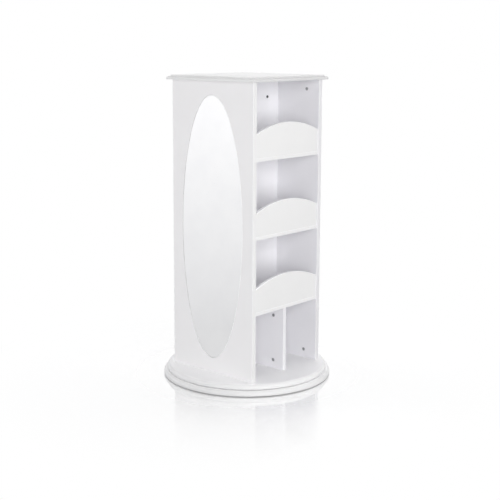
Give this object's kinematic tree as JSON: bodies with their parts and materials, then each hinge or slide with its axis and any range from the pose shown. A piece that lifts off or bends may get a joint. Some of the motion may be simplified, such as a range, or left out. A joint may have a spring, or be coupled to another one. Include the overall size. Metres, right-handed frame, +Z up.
{
  "type": "revolving wardrobe cabinet",
  "caption": "Square white cabinet that turns on a round base, with an oval mirror, arched-front shelves over open cubbies, and a peg-hung bay at the back.",
  "frame": {"origin": "centre of the base's footprint on the floor", "axes": "+Z up along the turning axis; the oval mirror faces -Y, the shelves face +X, the hanging bay faces -X"},
  "size_m": [0.5968, 0.5968, 1.0668],
  "materials": {
    "white_lacquer": "smooth white satin lacquer on fibreboard",
    "mirror": "silvered acrylic with a fine polished bevel",
    "zinc": "dull zinc die casting",
    "steel": "bright zinc plate",
    "ball_steel": "polished",
    "ring_aluminium": "turned",
    "cage_nylon": "moulded",
    "foam_tape": "foam",
    "felt": "pressed felt",
    "beech": "fluted raw beech"
  },
  "bodies": {
    "base": {"base_disc": "white_lacquer", "base_glides": "felt", "bearing_outer_ring": "ring_aluminium", "bearing_outer_screws": "steel"},
    "ball_carrier": {"bearing_balls": "ball_steel", "ball_cage": "cage_nylon"},
    "cabinet": {"turntable_disc": "white_lacquer", "mirror_panel": "white_lacquer", "side_panel": "white_lacquer", "partition": "white_lacquer", "upper_shelf": "white_lacquer", "middle_shelf": "white_lacquer", "lower_shelf": "white_lacquer", "upper_apron": "white_lacquer", "middle_apron": "white_lacquer", "lower_apron": "white_lacquer", "cubby_divider": "white_lacquer", "top_board": "white_lacquer", "coat_pegs": "white_lacquer", "bearing_inner_ring": "ring_aluminium", "bearing_inner_screws": "steel", "oval_mirror": "mirror", "mirror_pads": "foam_tape", "peg_bolts": "zinc", "panel_cam_locks": "zinc", "shelf_cam_locks": "zinc", "panel_cam_bolts": "steel", "shelf_cam_bolts": "steel", "panel_dowels": "beech", "shelf_dowels": "beech", "apron_screws": "steel"}
  },
  "joints": [
    {"name": "carousel", "type": "hinge", "parent": "base", "child": "cabinet", "pos_m": [0, 0, 0.0205], "axis": [0, 0, 1], "continuous": true},
    {"name": "ball_track", "type": "hinge", "parent": "base", "child": "ball_carrier", "pos_m": [0, 0, 0.0205], "axis": [0, 0, 1], "continuous": true}
  ],
  "couplings": [
    {"joint": "ball_track", "follows": "carousel", "ratio": 0.5}
  ]
}
